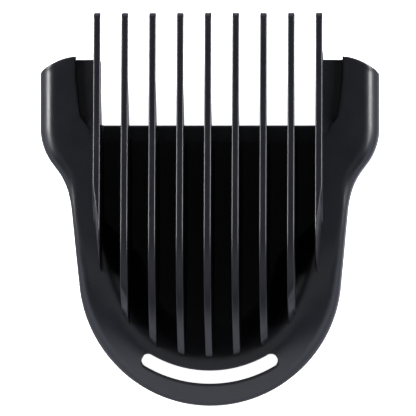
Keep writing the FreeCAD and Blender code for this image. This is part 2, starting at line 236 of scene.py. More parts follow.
def with_mirror(grid: np.ndarray) -> np.ndarray:
    """A grid of the right half with its mirror image added past its last column."""
    return np.concatenate([grid, on_side(grid[:, -2::-1], Side.LEFT)], 1)


def swept_bar(centres: np.ndarray, sideways: np.ndarray, half_width: float, half_height: float,
              rounding: float, end_share: float) -> tuple[np.ndarray, np.ndarray]:
    """An upright rounded rectangle carried along a level line, smaller towards both ends.

    Args:
        centres: (n, 3) places along the line.
        sideways: (n, 3) unit vectors across the bar.
        half_width: half of the section's width.
        half_height: half of its height.
        rounding: radius of its corners.
        end_share: size of the section at the very ends, as a share.

    Returns:
        Vertices and faces, the two ends closed by strips of quads.
    """
    per_corner = 5
    starts = (0, 90, 180, 270)
    turn = np.radians(np.concatenate([np.linspace(k, k + 90, per_corner) for k in starts]))
    corner_x = np.repeat(np.array([1, -1, -1, 1]), per_corner) * (half_width - rounding)
    corner_y = np.repeat(np.array([1, 1, -1, -1]), per_corner) * (half_height - rounding)
    ring_x = corner_x + rounding * np.cos(turn)
    ring_y = corner_y + rounding * np.sin(turn)
    ends = np.array([0.0, 0.35, 0.7, 1.0])
    shares = np.concatenate([ends, np.ones(len(centres) - 2 * len(ends)), ends[::-1]])
    scale = end_share + (1.0 - end_share) * np.sin(shares * np.pi / 2)
    up = np.array([0.0, 0.0, 1.0])
    rings = (centres[:, None] + sideways[:, None] * (ring_x[None, :, None] * scale[:, None, None])
             + up * (ring_y[None, :, None] * scale[:, None, None]))
    ids = sheet_ids(*rings.shape[:2])
    sides = grid_quads(np.concatenate([ids, ids[:, :1]], 1))
    half = len(turn) // 2
    lids = []
    for loop in (ids[0], ids[-1][::-1]):
        left, right = loop[:half], loop[half:][::-1]
        lids.append(np.stack([left[:-1], left[1:], right[1:], right[:-1]], 1))
    verts = rings.reshape(-1, 3)
    return verts, outward(verts, np.concatenate([sides] + lids))


def make_piece(node: str, word: str, solid: tuple[np.ndarray, np.ndarray],
               finish: bpy.types.Material, sharp: float = 40.0) -> None:
    """Put a solid into the scene in place of its frame node.

    Args:
        node: the frame node that the piece stands for.
        word: what the piece's name adds to the node's.
        solid: (n, 3) vertices in millimetres and (m, 4) faces.
        finish: the piece's material.
        sharp: edges that turn by more degrees than this stay crisp.
    """
    name = node + "_" + word
    verts, faces = solid
    mesh = bpy.data.meshes.new(name)
    mesh.from_pydata((verts * MM).tolist(), [], faces.tolist())
    mesh.shade_smooth()
    mesh.set_sharp_from_angle(angle=math.radians(sharp))
    mesh.materials.append(finish)
    mesh.update()
    piece = bpy.data.objects.new(name, mesh)
    bpy.context.scene.collection.objects.link(piece)
    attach(piece, "root")
    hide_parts(node)
    LOG.info("%s stands for %s, %d faces", name, node, len(faces))


def set_inputs(node: bpy.types.Node, values: dict[str, object]) -> None:
    """Give a node's named inputs their values."""
    for name, value in values.items():
        node.inputs[name].default_value = value


# ---- Finishes -----------------------------------------------------------------------------

@dataclass(frozen=True)
class SatinPlastic:
    """Moulded black plastic with a fine spark-eroded skin.

    The skin is noise of two sizes as bump, the gloss varies in soft patches, and the colour is
    a near black with a trace of blue.
    """

    name: str
    dark: tuple[float, float, float] = (0.0032, 0.0034, 0.0054)
    light: tuple[float, float, float] = (0.0062, 0.0066, 0.0098)
    rough_low: float = 0.27
    rough_high: float = 0.35
    skin_scale: float = 3600.0
    skin_depth: float = 0.000012
    skin_strength: float = 0.8
    patch_scale: float = 130.0
    specular: float = 0.5

    def material(self) -> bpy.types.Material:
        """The finish as a material on Object coordinates."""
        made = bpy.data.materials.new(self.name)
        made.use_nodes = True
        tree = made.node_tree
        tree.nodes.clear()
        out = tree.nodes.new("ShaderNodeOutputMaterial")
        shader = tree.nodes.new("ShaderNodeBsdfPrincipled")
        set_inputs(shader, {"Specular IOR Level": self.specular})
        place = tree.nodes.new("ShaderNodeTexCoord")
        skin = self.noise(tree, place, self.skin_scale, detail=3.0, roughness=0.55)
        patch = self.noise(tree, place, self.patch_scale, detail=4.0, roughness=0.6)
        tint = self.stretch(tree, 0.0, 1.0)
        blend = tree.nodes.new("ShaderNodeMix")
        blend.data_type = "RGBA"
        set_inputs(blend, {"A": (*self.dark, 1.0), "B": (*self.light, 1.0)})
        gloss = self.stretch(tree, self.rough_low, self.rough_high)
        bump = tree.nodes.new("ShaderNodeBump")
        set_inputs(bump, {"Strength": self.skin_strength, "Distance": self.skin_depth})
        link = tree.links.new
        link(skin.outputs["Fac"], tint.inputs["Value"])
        link(tint.outputs["Result"], blend.inputs["Factor"])
        link(blend.outputs["Result"], shader.inputs["Base Color"])
        link(patch.outputs["Fac"], gloss.inputs["Value"])
        link(gloss.outputs["Result"], shader.inputs["Roughness"])
        link(skin.outputs["Fac"], bump.inputs["Height"])
        link(bump.outputs["Normal"], shader.inputs["Normal"])
        link(shader.outputs["BSDF"], out.inputs["Surface"])
        return made

    @staticmethod
    def stretch(tree: bpy.types.NodeTree, low: float, high: float) -> bpy.types.Node:
        """A node that spreads a noise's middle range, 0.3 to 0.7, over low to high."""
        node = tree.nodes.new("ShaderNodeMapRange")
        set_inputs(node, {"From Min": 0.3, "From Max": 0.7, "To Min": low, "To Max": high})
        return node

    @staticmethod
    def noise(tree: bpy.types.NodeTree, place: bpy.types.Node, scale: float, detail: float,
              roughness: float) -> bpy.types.Node:
        """A noise node on Object coordinates."""
        node = tree.nodes.new("ShaderNodeTexNoise")
        set_inputs(node, {"Scale": scale, "Detail": detail, "Roughness": roughness})
        tree.links.new(place.outputs["Object"], node.inputs["Vector"])
        return node


# ---- Drawings the pieces share ------------------------------------------------------------

@dataclass(frozen=True)
class Outline:
    """The cover's edge seen from the front, a chain of tangent lines and arcs."""

    half_width: float = 30.6
    corner_y: float = 25.0
    peak_x: float = 24.1
    peak_y: float = 27.8
    bulge: float = 0.61
    wing_side: float = 10.13
    wing_turn: float = 10.7
    slope: float = 1.65
    neck: float = 12.2
    neck_ease: float = 21.0
    side: float = 13.68
    chin: float = 23.7
    neck_angle: float = 36.8
    ease_angle: float = 14.4
    side_lean: float = 5.3
    wing_split: float = 4.17
    side_split: float = -17.75

    @property
    def chin_centre(self) -> tuple[float, float]:
        """Centre of the chin's circle."""
        return 0.0, -11.85

    def right_edge(self) -> np.ndarray:
        """The right edge from the wing's corner to the middle of the chin, as (n, 2).

        Lines advance along the heading; arcs turn the heading about a centre beside it.
        """
        steps = [(self.wing_side, 0.0), (self.wing_turn, -self.neck_angle), (self.slope, 0.0),
                 (self.neck, self.neck_angle - self.ease_angle),
                 (self.neck_ease, self.ease_angle - self.side_lean), (self.side, 0.0),
                 (self.chin, -(90.0 - self.side_lean))]
        x, y, heading = self.half_width, self.corner_y, -90.0
        runs = []
        share = np.linspace(0.0, 1.0, 60)
        for size, turn in steps:
            now = np.radians(heading + turn * share)
            if turn == 0.0:
                run = np.stack([x + size * share * np.cos(now), y + size * share * np.sin(now)], 1)
            else:
                sign = math.copysign(1.0, turn)
                base = math.radians(heading)
                middle = (x - sign * size * math.sin(base), y + sign * size * math.cos(base))
                run = np.stack([middle[0] + sign * size * np.sin(now),
                                middle[1] - sign * size * np.cos(now)], 1)
            runs.append(run if not runs else run[1:])
            x, y = run[-1]
            heading += turn
        return np.concatenate(runs)

    def arch(self, x: np.ndarray) -> np.ndarray:
        """Height along Y of the wing's arched top edge, a sloping line plus a parabola."""
        share = np.clip((x - self.peak_x) / (self.half_width - self.peak_x), 0.0, 1.0)
        drop = self.peak_y - self.corner_y
        return self.peak_y - drop * share + 4.0 * self.bulge * share * (1.0 - share)


@dataclass(frozen=True)
class Recess:
    """The U that the teeth stand in: straight sides and half a superellipse."""

    half: float = 20.6
    start_y: float = -0.5
    depth: float = 27.8
    power: float = 2.4
    lean: float = 4.0
    lean_foot: float = 8.0
    crest: float = 26.0
    wall: float = 1.2

    @property
    def wall_middle(self) -> float:
        """The x of the middle of the wall under an outer tooth."""
        return self.half - self.wall / 2

    def half_width(self, y: np.ndarray, inset: float | np.ndarray = 0.0) -> np.ndarray:
        """Half width at y: half times (1 - (y / depth) ** power) ** (1 / power) below the start."""
        share = np.clip((self.start_y - y) / (self.depth - inset), 0.0, 1.0)
        return (self.half - inset) * (1.0 - share ** self.power) ** (1.0 / self.power)

    def end_y(self, x: float, z: np.ndarray) -> np.ndarray:
        """Where the leaning end of the recess is, at an x and at heights z."""
        back = self.lean * np.clip((z - self.lean_foot) / (self.crest - self.lean_foot), 0.0, 1.2)
        share = min(abs(x) / self.half, 1.0)
        return self.start_y - (self.depth - back) * (1.0 - share ** self.power) ** (1 / self.power)

    def curve(self, inset: float, count: int = 400) -> np.ndarray:
        """The right half of the closed end, from its side to the middle, as (count, 2)."""
        angle = np.linspace(0.0, np.pi / 2, count)
        x = (self.half - inset) * np.cos(angle) ** (2.0 / self.power)
        y = self.start_y - (self.depth - inset) * np.sin(angle) ** (2.0 / self.power)
        return np.stack([x, y], 1)


@dataclass(frozen=True)
class PlateLine:
    """The plate seen from the side: a long slope, a crease and a steeper lip."""

    chin: tuple[float, float] = (-28.3, 13.35)
    crease: tuple[float, float] = (12.4, 6.4)
    edge: tuple[float, float] = (15.4, 5.5)
    wall: float = 1.8

    def height(self, y: np.ndarray) -> np.ndarray:
        """The top face's z at y, straight between chin, crease and edge."""
        slope = (self.crease[1] - self.chin[1]) / (self.crease[0] - self.chin[0])
        far = (self.chin[0] - 10.0, self.chin[1] - 10.0 * slope)
        corners = np.array([far, self.crease, self.edge])
        return np.interp(y, corners[:, 0], corners[:, 1])


@dataclass(frozen=True)
class SmileSlot:
    """The curved slot above the chin strip, an arc with round ends."""

    centre_y: float = -8.28
    radius: float = 22.07
    width: float = 2.5
    half_span: float = 11.15

    @property
    def reach(self) -> float:
        """Angle of an end round's centre from straight down, in radians."""
        return math.asin(self.half_span / self.radius)

    def edges(self, angle: np.ndarray, turn: np.ndarray) -> tuple[np.ndarray, np.ndarray]:
        """Points on the slot's two edges.

        Args:
            angle: angle from straight down about the slot's centre, up to reach.
            turn: 90 along the slot and 90 down to 0 round its end, in degrees.

        Returns:
            The edge by the chin and the edge by the teeth, each (n, 2): the middle line moved
            along by cos(turn) and apart by sin(turn) half widths.
        """
        out = np.stack([np.sin(angle), -np.cos(angle)], 1)
        along = np.stack([np.cos(angle), np.sin(angle)], 1)
        half = self.width / 2
        middle = np.array([0.0, self.centre_y]) + self.radius * out
        middle = middle + along * (half * np.cos(np.radians(turn)))[:, None]
        apart = out * (half * np.sin(np.radians(turn)))[:, None]
        return middle + apart, middle - apart


# ---- Cover --------------------------------------------------------------------------------

@dataclass
class Cover:
    """The hollow cover: two wings, two side panels, the chin and the snap bow beside the slot.

    One grid of columns round the outline and rows from the rim to the recess carries all of
    them, so that neighbours share their edges. A pair such as crown_x is where a blend starts
    and how long it is.
    """

    outline: Outline
    recess: Recess
    plate: PlateLine
    slot: SmileSlot
    wall: float = 1.8
    front: float = 16.0
    fall_start: float = 7.4
    fall_slope: float = math.tan(math.radians(2.6))
    chin_slope: float = math.tan(math.radians(38.0))
    chin_width: float = 6.0
    chin_softness: float = 1.6
    chin_blend: tuple[float, float] = (-5.0, 26.0)
    crown: float = 0.35
    crown_x: tuple[float, float] = (24.0, 6.6)
    crown_y: tuple[float, float] = (6.0, 8.0)
    arch_y: tuple[float, float] = (12.0, 13.0)
    step_y: tuple[float, float] = (13.3, 1.2)
    slot_fade: float = 3.0  # in columns
    slot_upright: float = 2.4
    ring_growth: float = 9.0
    ring_start: float = 1.2
    ring_full: float = 8.0
    ring_level: float = 0.12
    spacing: float = 0.36
    step_line: np.ndarray = field(default_factory=lambda: np.array([
        (13.0, 20.6), (13.5, 21.15), (14.6, 21.62), (15.6, 22.2), (16.1, 22.62), (16.5, 23.0),
        (16.8, 23.2), (17.3, 23.33), (20.2, 23.68), (23.7, 24.1), (28.0, 24.1)]))
    columns_at: dict[str, int] = field(default_factory=dict)
    edge: np.ndarray = field(init=False)
    inner_line: np.ndarray = field(init=False)
    ring_line: np.ndarray = field(init=False)
    top: np.ndarray = field(init=False)
    under: np.ndarray = field(init=False)
    seam_row: int = field(init=False)

    def __post_init__(self) -> None:
        """Draw the outline once."""
        self.edge = self.outline.right_edge()

    def shoulder(self, y: np.ndarray) -> tuple[np.ndarray, np.ndarray]:
        """Width and depth of the rounded shoulder at each y."""
        places = np.array([-35.5, -24.0, -12.0, 0.0, 7.0, 14.0, 27.0])
        width = eased_interp(y, places, np.array([0.9, 1.9, 2.1, 1.2, 2.3, 2.7, 2.7]))
        depth = eased_interp(y, places, np.array([0.8, 1.6, 1.8, 1.0, 2.0, 2.5, 2.5]))
        return width, depth

    def height(self, places: np.ndarray) -> np.ndarray:
        """The front's z at places of x and y.

        The flat minus a slight fall, minus the chin's slope where it nears the outline, minus
        the wing's slight crown, minus the shoulder's quarter ellipse.
        """
        x, y = np.abs(places[..., 0]), places[..., 1]
        away = nearest(np.stack([x, y], -1), self.edge)
        fall = self.fall_slope * soft_ramp(self.fall_start - y, 3.0)
        towards_chin = ease((self.chin_blend[0] - y) / self.chin_blend[1])
        chin = self.chin_slope * towards_chin * soft_ramp(self.chin_width - away,
                                                          self.chin_softness)
        beside = np.clip((x - self.crown_x[0]) / self.crown_x[1], 0.0, 1.0)
        crown = self.crown * beside ** 2 * ease((y - self.crown_y[0]) / self.crown_y[1])
        width, depth = self.shoulder(y)
        return self.front - fall - chin - crown - quarter_drop(away, width, depth)

    def inner_x(self, y: np.ndarray) -> np.ndarray:
        """The front's inner boundary: the step beside the deck, then the recess."""
        step = np.interp(y, self.step_line[:, 0], self.step_line[:, 1])
        return np.where(y > self.step_line[0, 0], step, self.recess.half_width(y))

    def side_columns(self) -> tuple[np.ndarray, np.ndarray]:
        """Outline points from the wing's corner to the chin, and how far each column is lifted."""
        edge = self.edge
        steps = np.hypot(*np.diff(edge, axis=0).T)
        along = np.concatenate([[0.0], np.cumsum(steps)])
        marks = [self.outline.corner_y - EDGE_RADIUS, self.outline.wing_split,
                 self.outline.side_split]
        at = np.interp(-np.array(marks), -edge[:, 1], along)
        top = np.concatenate([EDGE_STEPS[:-1], [at[0]]])
        wing = np.linspace(at[0], at[1], int((at[1] - at[0]) / self.spacing) + 2)[1:]
        side = np.linspace(at[1], at[2], int((at[2] - at[1]) / self.spacing) + 2)[1:]
        where = np.concatenate([top, wing, side])
        self.columns_at["wing_end"] = len(top) + len(wing) - 1
        self.columns_at["side_end"] = len(where) - 1
        outer = np.stack([np.interp(where, along, edge[:, k]) for k in (0, 1)], 1)
        return outer, ease((outer[:, 1] - self.arch_y[0]) / self.arch_y[1])

    def chin_columns(self) -> dict[str, np.ndarray]:
        """Columns from the side panels' end to the middle, along rays about the slot's centre.

        The rays start at the angles of the split's ends on each curve and draw level at the
        slot's tip; from there they share one angle.
        """
        reach = self.slot.reach
        centre = np.array([0.0, self.slot.centre_y])
        tip = self.slot.edges(np.array([reach]), np.array([0.0]))[0][0]
        tip_angle = math.atan2(tip[0], centre[1] - tip[1])
        end, open_part = 11, 34
        turn = np.concatenate([np.linspace(0.0, 90.0, end), np.full(open_part, 90.0)])
        angle = np.concatenate([np.full(end, reach), np.linspace(reach, 0.0, open_part + 1)[1:]])
        chin_edge, tooth_edge = self.slot.edges(angle, turn)
        middle = (chin_edge + tooth_edge) / 2
        shared = np.arctan2(middle[:, 0], centre[1] - middle[:, 1])
        share = np.linspace(0.0, 1.0, 30)[1:-1]
        split = self.outline.side_split
        found = {}
        curves = {"outer": self.edge, "inner": self.recess.curve(0.0),
                  "ring": self.recess.curve(self.ring_full)}
        for name, curve in curves.items():
            start_x = np.interp(-split, -curve[:, 1], curve[:, 0])
            start = math.atan2(start_x, centre[1] - split)
            angles = np.concatenate([start + (tip_angle - start) * share, shared])
            low = curve[curve[:, 1] < split + 3.0]
            curve_angle = np.arctan2(low[:, 0], centre[1] - low[:, 1])
            order = np.argsort(curve_angle)
            found[name] = np.stack([np.interp(angles, curve_angle[order], low[order, k])
                                    for k in (0, 1)], 1)
        self.columns_at["tip"] = self.columns_at["side_end"] + len(share) + 1
        self.columns_at["bow"] = self.columns_at["tip"] + end - 1
        found["chin_edge"], found["tooth_edge"] = chin_edge, tooth_edge
        return found

    def lay_out(self) -> None:
        """Work out every vertex of the cover's right half and the lines beside the ring.

        The under side is the front moved in by the wall along its normal, and straight down
        beside the slot. Rounded edges are cut into the front afterwards.
        """
        side_edge, lifted = self.side_columns()
        sides = len(side_edge)
        chin = self.chin_columns()
        outer = np.concatenate([side_edge, chin["outer"]])
        self.inner_line, low_seam, high_seam = self.seams(outer, lifted, chin)
        self.ring_line = np.concatenate([self.side_ring(side_edge[:, 1]), chin["ring"]])
        shares = (np.linspace(0.0, 1.0, 27) ** 1.7)[:-1]
        low_plan, _, low_away = self.between(outer, low_seam, shares, after=True)
        high_plan, high_away, to_step = self.between(high_seam, self.inner_line,
                                                     np.linspace(0.0, 1.0, 8))
        plan = np.concatenate([low_plan, high_plan])
        lift = self.outline.arch(plan[:, :sides, 0]) - self.outline.corner_y
        plan[:, :sides, 1] = side_edge[:, 1] + lift * lifted
        z = self.height(plan)
        rim, inwards = self.rim_rows(outer, z[0])
        count = len(rim)
        whole = np.concatenate([rim, raised(plan, z)])
        normal = self.normals(whole)
        normal[:count + 1, :, :2] = -inwards
        normal[:count + 1, :, 2] = 0.0

        from_slot = np.concatenate([low_away, high_away])
        at_slot = ease((np.arange(len(outer)) - self.columns_at["tip"]) / self.slot_fade)
        at_step = ease((self.inner_line[:, 1] - self.step_y[0]) / self.step_y[1])
        cut = np.zeros(whole.shape[:2])
        cut[count:] = edge_drop(from_slot) * at_slot
        high = cut[-len(high_plan):]
        high[:] = np.maximum(high, edge_drop(to_step) * at_step)
        arched = cut[:, :len(EDGE_STEPS)]
        arched[:] = np.maximum(arched, edge_drop(EDGE_STEPS))
        self.top = whole - normal * cut[..., None]
        inward = normal * self.wall
        slanted = 1.0 - at_slot * (1.0 - ease(from_slot / self.slot_upright))
        inward[count:, :, :2] *= slanted[..., None]
        self.under = whole - inward
        self.under[0] = whole[0] - normal[0] * (self.wall - 2.0 * EDGE_RADIUS)
        self.under[..., 2] = np.maximum(self.under[..., 2], 0.0)
        self.seam_row = count + len(low_plan) - 1

    def seams(self, outer: np.ndarray, lifted: np.ndarray, chin: dict[str, np.ndarray]
              ) -> tuple[np.ndarray, np.ndarray, np.ndarray]:
        """Where the columns end at the recess, and where they meet the slot.

        Args:
            outer: (n, 2) the columns' ends on the outline.
            lifted: how far each of the side columns is lifted to the wing's arch.
            chin: the chin columns' lines.

        Returns:
            The line along the recess, the slot's edge by the chin and its edge by the teeth,
            each (n, 2). Past the slot's tip the two edges are one line, which stays at the
            tip's share of the way across.
        """
        inner_y = (outer[:len(lifted), 1]
                   + (self.outline.peak_y - self.outline.corner_y) * lifted)
        side_inner = np.stack([self.inner_x(inner_y), inner_y], 1)
        inner = np.concatenate([side_inner, chin["inner"]])
        tip = len(outer) - len(chin["chin_edge"])
        to_tip, across = chin["chin_edge"][0] - outer[tip], inner[tip] - outer[tip]
        share = np.hypot(*to_tip) / np.hypot(*across)
        seam = outer[:tip] + (inner[:tip] - outer[:tip]) * share
        low, high = (np.concatenate([seam, chin[k]]) for k in ("chin_edge", "tooth_edge"))
        return inner, low, high

    def side_ring(self, y: np.ndarray) -> np.ndarray:
        """Where the ring ends beside the side columns, further in towards the chin."""
        grown = ease((self.recess.start_y - y) / self.ring_growth)
        inset = self.ring_start + (self.ring_full - self.ring_start) * grown
        return np.stack([self.recess.half_width(y, inset), y], 1)

    @staticmethod
    def rim_rows(outer: np.ndarray, front: np.ndarray) -> tuple[np.ndarray, np.ndarray]:
        """The upright outer wall, from its rounded back rim to just below the front.

        Args:
            outer: (n, 2) the outline.
            front: the front's z at each of its points.

        Returns:
            Rows (r, n, 3), and the unit vectors (n, 2) that point in from the outline.
        """
        heading = np.gradient(outer, axis=0)
        sideways = np.stack([heading[:, 1], -heading[:, 0]], 1)
        sideways /= np.hypot(*sideways.T)[:, None]
        inwards = np.where((sideways[:, :1] * outer[:, :1]) > 0, -1.0, 1.0) * sideways
        inwards[-1] = (0.0, 1.0)
        rounded = np.array([EDGE_RADIUS, 0.1, 0.0])
        upright = np.array([0.2, 0.4, 0.6, 0.8, 0.93])
        levels = np.concatenate([np.repeat(rounded[::-1, None], len(outer), 1),
                                 EDGE_RADIUS + (front - EDGE_RADIUS) * upright[:, None]])
        insets = np.concatenate([rounded, np.zeros(len(upright))])
        return raised(outer + inwards * insets[:, None, None], levels), inwards

    @staticmethod
    def between(start: np.ndarray, end: np.ndarray, shares: np.ndarray,
                after: bool = False) -> tuple[np.ndarray, np.ndarray, np.ndarray]:
        """Rows between two lines, closely spaced beside rounded edges.

        Args:
            start: (n, 2) first line.
            end: (n, 2) second line.
            shares: spacing of the open part.
            after: close rows only at the end, instead of at both lines.

        Returns:
            Rows (r, n, 2), their distance from start and their distance from end.
        """
        length = np.maximum(np.hypot(*(end - start).T), 1e-6)[None]
        near = EDGE_STEPS[:, None] * np.minimum(1.0, 0.3 * length / EDGE_RADIUS)
        reach = near[-1:]
        if after:
            opening = [shares[:, None] * (length - reach)]
        else:
            opening = [near, reach + shares[1:-1, None] * (length - 2.0 * reach)]
        away = np.concatenate(opening + [length - near[::-1]])
        return start + (end - start) * (away / length)[..., None], away, length - away

    @staticmethod
    def normals(grid: np.ndarray) -> np.ndarray:
        """Unit normals of a grid, from the cross product of its two central differences."""
        across = np.gradient(grid, axis=0)
        along = np.gradient(grid, axis=1)
        made = np.cross(across, along)
        made /= np.maximum(np.linalg.norm(made, axis=-1, keepdims=True), 1e-9)
        return made

    def build(self, finish: bpy.types.Material, inner_finish: bpy.types.Material) -> None:
        """Make the wings, side panels, chin cover, snap bow, recess walls and chin ring."""
        self.lay_out()
        top, under = with_mirror(self.top), with_mirror(self.under)
        ids = sheet_ids(*top.shape[:2])
        last = ids.shape[1] - 1
        tip, seam = self.columns_at["tip"], self.seam_row
        # Outside the slot's tips the two rows beside the seam are one.
        outside = np.r_[0:tip + 1, last - tip:last + 1]
        ids[seam + 1, outside] = ids[seam, outside]
        low, high = ids[:seam + 1], ids[seam + 1:]
        wing, side, bow = (self.columns_at[k] for k in ("wing_end", "side_end", "bow"))
        spans = {
            "right_wing": [(low, 0, wing), (high, 0, wing)],
            "right_side_panel": [(low, wing, side), (high, wing, side)],
            "chin_cover": [(low, side, bow), (low, last - bow, last - side),
                           (high, side, last - side)],
            "snap_bow": [(low, bow, last - bow)],
            "left_side_panel": [(low, last - side, last - wing), (high, last - side, last - wing)],
            "left_wing": [(low, last - wing, last), (high, last - wing, last)],
        }
        for node, parts in spans.items():
            quads = np.concatenate([grid_quads(part[:, a:b + 1]) for part, a, b in parts])
            solid = closed_slab(top.reshape(-1, 3), under.reshape(-1, 3), quads)
            make_piece(node, "skin", solid, finish)
        self.build_ring(finish)
        for hand in Side:
            self.build_recess_wall(hand, inner_finish)

    def build_ring(self, finish: bpy.types.Material) -> None:
        """The wall that closes the recess at the chin, with its soft inner slope.

        The front runs on level over the first share of the ring, and its height then fades
        into the plate's by an eased share of the rest.
        """
        low = self.inner_line[:, 1] < self.recess.start_y + 0.2
        start, end = self.inner_line[low], self.ring_line[low]
        share = np.linspace(0.0, 1.0, 20)
        plan = start[None] + (end - start)[None] * share[:, None, None]
        front = self.height(plan)
        floor = self.plate.height(plan[..., 1])
        fade = ease((share - self.ring_level) / (1.0 - self.ring_level))
        top = with_mirror(raised(plan, front + (floor - front) * fade[:, None]))
        under = with_mirror(raised(plan, floor - self.wall))
        make_piece("chin_recess_wall", "slope", slab_of_grids(top, under), finish)

    def build_recess_wall(self, side: Side, finish: bpy.types.Material) -> None:
        """The straight wall under an outer tooth, from the plate's underside to the front."""
        y = np.linspace(self.recess.start_y, self.plate.edge[0], 40)
        across = self.recess.wall_middle + np.array([-0.57, -0.5, -0.3, 0.3, 0.5, 0.57])
        rounded = np.array([0.2, 0.06, 0.0, 0.0, 0.06, 0.2])[:, None]
        plan = np.stack(np.meshgrid(across, y, indexing="ij"), -1)
        top = raised(plan, self.height(plan) - 0.05 - rounded)
        under = raised(plan, self.plate.height(plan[..., 1]) - self.wall + rounded)
        solid = slab_of_grids(on_side(top, side), on_side(under, side))
        make_piece(side.word + "_recess_wall", "panel", solid, finish)


# ---- Decks and cheeks ---------------------------------------------------------------------

@dataclass
class Decks:
    """The two sunk decks beside the outer teeth, and the cheeks that stand below them.

    rise_y and rise_x are where the deck starts to ease up to the front, and over what length.
    """

    cover: Cover
    deck_top_y: float = 27.2
    deck_z: float = 14.6
    deck_wall: float = 1.8
    deck_length: float = 14.2
    tucked: float = 0.9
    rise_y: tuple[float, float] = (17.0, 3.4)
    rise_x: tuple[float, float] = (24.4, 3.0)
    below_front: float = 0.04
    cheek_half: float = 0.57
    cheek_low: float = 3.7
    cheek_taper: float = math.tan(math.radians(2.3))
    cheek_set_back: float = 0.3
    cheek_taper_most: float = 0.6
    below_deck: float = 0.05

    def build(self, finish: bpy.types.Material, inner_finish: bpy.types.Material) -> None:
        """Make both decks and both cheeks."""
        for side in Side:
            self.build_deck(side, finish)
            self.build_cheek(side, inner_finish)

    def build_deck(self, side: Side, finish: bpy.types.Material) -> None:
        """A deck: level, with a rounded top edge, and easing up to the front at its lower end."""
        drop = np.concatenate([EDGE_STEPS, np.linspace(OPEN_FROM, self.deck_length, 56)])
        y = self.deck_top_y - drop
        share = np.linspace(0.0, 1.0, 14)
        inner_x = self.cover.recess.half
        outer_x = np.maximum(self.cover.inner_x(y), inner_x) + self.tucked
        x = inner_x + (outer_x - inner_x)[None] * share[:, None]
        plan = np.stack([x, np.repeat(y[None], len(share), 0)], -1)
        front = self.cover.height(plan) - self.below_front
        rise = (ease((self.rise_y[0] - y) / self.rise_y[1])[None]
                * ease((self.rise_x[0] - x) / self.rise_x[1]))
        top = raised(plan, self.deck_z + (front - self.deck_z) * rise - edge_drop(drop)[None])
        under = raised(plan, np.full(x.shape, self.deck_z - self.deck_wall))
        solid = slab_of_grids(on_side(top, side), on_side(under, side))
        make_piece(side.word + "_deck", "ledge", solid, finish)

    def build_cheek(self, side: Side, finish: bpy.types.Material) -> None:
        """A cheek: a flat panel whose free edges are rounded by their distance."""
        low_y, high_y = self.cover.plate.edge[0], self.deck_top_y - 0.02
        low_z, high_z = self.cheek_low, self.deck_z - self.below_deck
        y, z = np.meshgrid(spaced(low_y, high_y, 12), spaced(low_z, high_z, 10), indexing="ij")
        away = np.minimum(np.minimum(y - low_y, high_y - y), z - low_z)
        half = self.cheek_half - edge_drop(away)
        taper = np.minimum(self.cheek_taper * (high_z - z) + self.cheek_set_back,
                           self.cheek_taper_most)
        middle = self.cover.recess.wall_middle
        outer, inner = (np.stack([x, y, z], -1) for x in (middle + half, middle - half + taper))
        solid = slab_of_grids(on_side(outer, side), on_side(inner, side))
        make_piece(side.word + "_cheek", "panel", solid, finish)


# ---- Plate --------------------------------------------------------------------------------

@dataclass
class CombPlate:
    """The sloping plate behind the teeth and its steeper lip towards the blade."""

    cover: Cover
    plate: PlateLine
    half: float = 19.5

    def build(self, finish: bpy.types.Material) -> None:
        """Make the plate and the lip."""
        self.build_plate(finish)
        self.build_lip(finish)

    def chords(self) -> tuple[np.ndarray, np.ndarray]:
        """Levels of y from the chin to the crease and the plate's half width at each."""
        line = self.cover.ring_line[self.cover.ring_line[:, 1] < self.cover.recess.start_y]
        low_y, low_x = line[::-1][1:, 1], line[::-1][1:, 0]
        high_y = np.linspace(self.cover.recess.start_y, self.plate.crease[0], 40)
        return np.concatenate([low_y, high_y]), np.concatenate([low_x, np.full(40, self.half)])

    def build_plate(self, finish: bpy.types.Material) -> None:
        """The plate: chords across the recess, at the plate line's height."""
        y, half = self.chords()
        share = np.linspace(-1.0, 1.0, 41)
        plan = np.stack([share[:, None] * half[None], np.repeat(y[None], len(share), 0)], -1)
        top = raised(plan, self.plate.height(plan[..., 1]))
        under = top - np.array([0.0, 0.0, self.plate.wall])
        make_piece("comb_plate", "floor", slab_of_grids(top, under), finish)

    def build_lip(self, finish: bpy.types.Material) -> None:
        """The lip, with its free edge rounded on both faces."""
        crease, edge = self.plate.crease[0], self.plate.edge[0]
        y = np.concatenate([np.linspace(crease, edge - OPEN_FROM, 10), edge - EDGE_STEPS[::-1]])
        x = np.linspace(-self.half, self.half, 41)
        plan = np.stack(np.meshgrid(x, y, indexing="ij"), -1)
        z = self.plate.height(plan[..., 1])
        cut = edge_drop(edge - plan[..., 1])
        solid = slab_of_grids(raised(plan, z - cut), raised(plan, z - self.plate.wall + cut))
        make_piece("blade_lip", "edge", solid, finish)


# ---- Teeth --------------------------------------------------------------------------------

